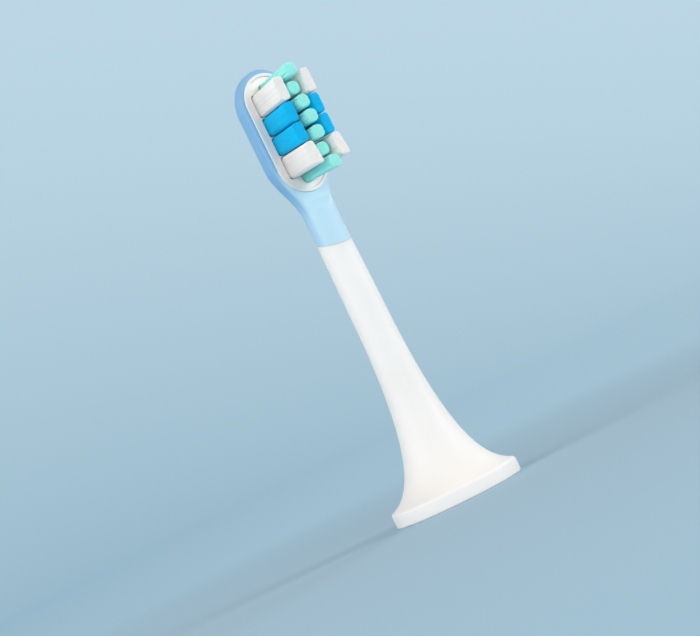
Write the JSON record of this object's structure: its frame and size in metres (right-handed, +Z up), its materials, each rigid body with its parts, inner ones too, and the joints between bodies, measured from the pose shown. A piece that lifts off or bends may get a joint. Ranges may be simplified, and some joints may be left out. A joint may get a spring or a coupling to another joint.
{
  "type": "electric toothbrush head",
  "caption": "Slim brush head for an electric toothbrush: white stem on a bell-shaped foot, soft blue sleeve on neck and head, white, blue and mint bristle tufts, shaft socket in the foot.",
  "frame": {"origin": "centre of the foot's rim, on the plane it stands on", "axes": "+Z up the stem to the tip of the head, -Y the way the bristles point, +X across the head"},
  "size_m": [0.023, 0.023, 0.0802],
  "materials": {
    "white_plastic": "satin white moulding",
    "soft_blue": "soft light blue overmould",
    "plate_white": "satin white",
    "bristle_white": "white nylon bristles",
    "bristle_blue": "blue nylon bristles",
    "bristle_mint": "mint nylon bristles",
    "coupling_grey": "satin grey moulding",
    "spring_steel": "rolled spring steel"
  },
  "bodies": {
    "root": {"stem": "white_plastic", "soft_sleeve": "soft_blue", "tuft_plate": "plate_white", "tuft_mat": "plate_white", "tuft_white_tip_left": "bristle_white", "tuft_white_tip_right": "bristle_white", "tuft_white_neck_left": "bristle_white", "tuft_white_neck_right": "bristle_white", "tuft_blue_upper_left": "bristle_blue", "tuft_blue_upper_right": "bristle_blue", "tuft_blue_lower_left": "bristle_blue", "tuft_blue_lower_right": "bristle_blue", "tuft_mint_1": "bristle_mint", "tuft_mint_2": "bristle_mint", "tuft_mint_3": "bristle_mint", "tuft_mint_4": "bristle_mint", "tuft_mint_5": "bristle_mint", "tuft_mint_6": "bristle_mint", "tuft_mint_7": "bristle_mint", "shaft_coupling": "coupling_grey", "coupling_spring": "spring_steel"}
  },
  "joints": []
}
